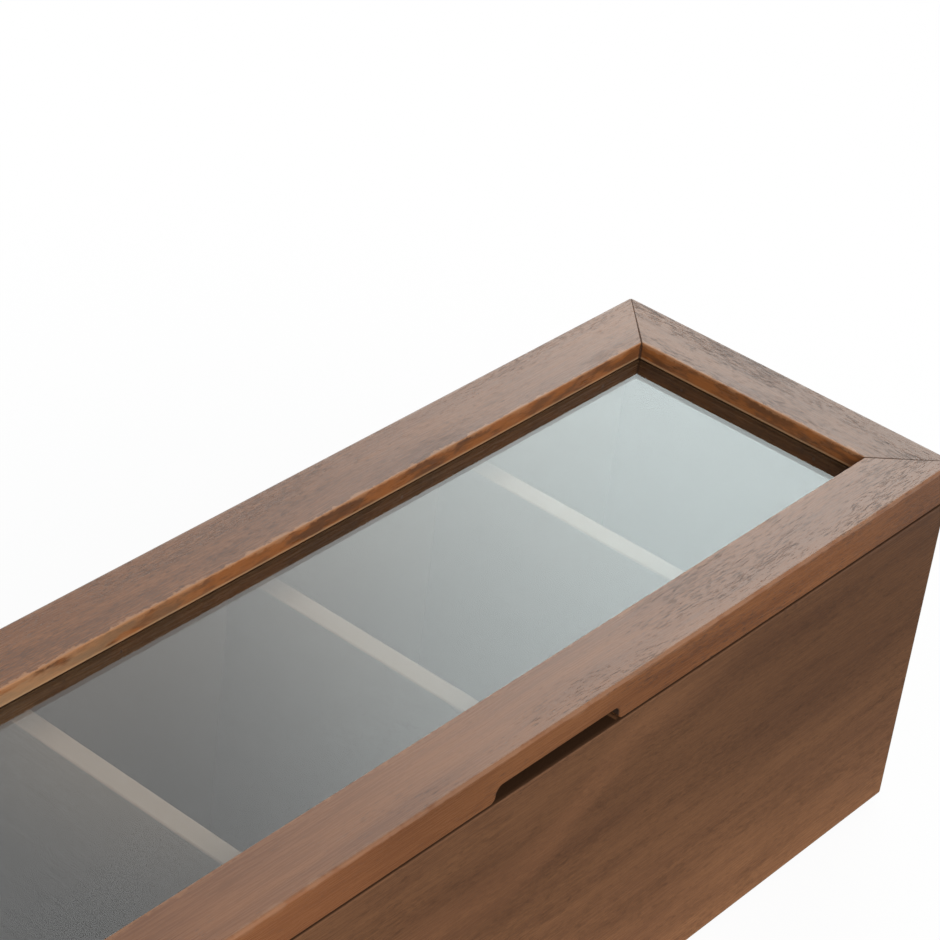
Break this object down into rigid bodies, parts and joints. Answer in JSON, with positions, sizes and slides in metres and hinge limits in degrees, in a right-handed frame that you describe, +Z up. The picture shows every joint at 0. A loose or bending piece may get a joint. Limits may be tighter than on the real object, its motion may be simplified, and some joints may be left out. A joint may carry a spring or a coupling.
{
  "type": "tea box",
  "caption": "Long wooden tea box with compartments under a hinged, mitred lid glazed with a clear pane; a finger notch in the lid's front rail lifts it.",
  "frame": {"origin": "middle of the box's footprint, on the surface that it stands on", "axes": "+X along the box to its right end, +Y to its back where the hinges are, +Z up"},
  "size_m": [0.3, 0.1, 0.1035],
  "materials": {
    "wall_wood": "satin oiled walnut, long grain along each wall",
    "divider_wood": "satin oiled walnut, grain front to back",
    "panel_wood": "matt walnut veneer",
    "lid_wood": "satin oiled walnut, long grain along each rail",
    "bead_wood": "satin walnut",
    "clear_glass": "clear float glass, polished",
    "felt": "pressed felt",
    "soft_clear": "soft clear bumper",
    "hinge_brass": "antiqued brass, satin",
    "pin_brass": "brass, lightly polished",
    "screw_brass": "antiqued brass",
    "nail_steel": "bright steel wire and strip"
  },
  "bodies": {
    "box": {"front_wall": "wall_wood", "back_wall": "wall_wood", "left_end_wall": "wall_wood", "right_end_wall": "wall_wood", "bottom_panel": "panel_wood", "divider_left": "divider_wood", "divider_centre": "divider_wood", "divider_right": "divider_wood", "foot_pad_front_left": "felt", "foot_pad_front_right": "felt", "foot_pad_back_left": "felt", "foot_pad_back_right": "felt", "hinge_left_body_leaf": "hinge_brass", "hinge_right_body_leaf": "hinge_brass", "hinge_left_pin": "pin_brass", "hinge_right_pin": "pin_brass", "hinge_body_screws": "screw_brass"},
    "lid": {"lid_front_rail": "lid_wood", "lid_back_rail": "lid_wood", "lid_left_rail": "lid_wood", "lid_right_rail": "lid_wood", "glass_pane": "clear_glass", "glazing_bead_front": "bead_wood", "glazing_bead_back": "bead_wood", "glazing_bead_left": "bead_wood", "glazing_bead_right": "bead_wood", "bead_pins": "nail_steel", "lid_corner_nails": "nail_steel", "hinge_left_lid_leaf": "hinge_brass", "hinge_right_lid_leaf": "hinge_brass", "hinge_lid_screws": "screw_brass", "lid_bumper_left": "soft_clear", "lid_bumper_right": "soft_clear"}
  },
  "joints": [
    {"name": "lid_hinge", "type": "hinge", "parent": "box", "child": "lid", "pos_m": [0, 0.0485, 0.0925], "axis": [-1, 0, 0], "range_deg": [0, 100]}
  ]
}
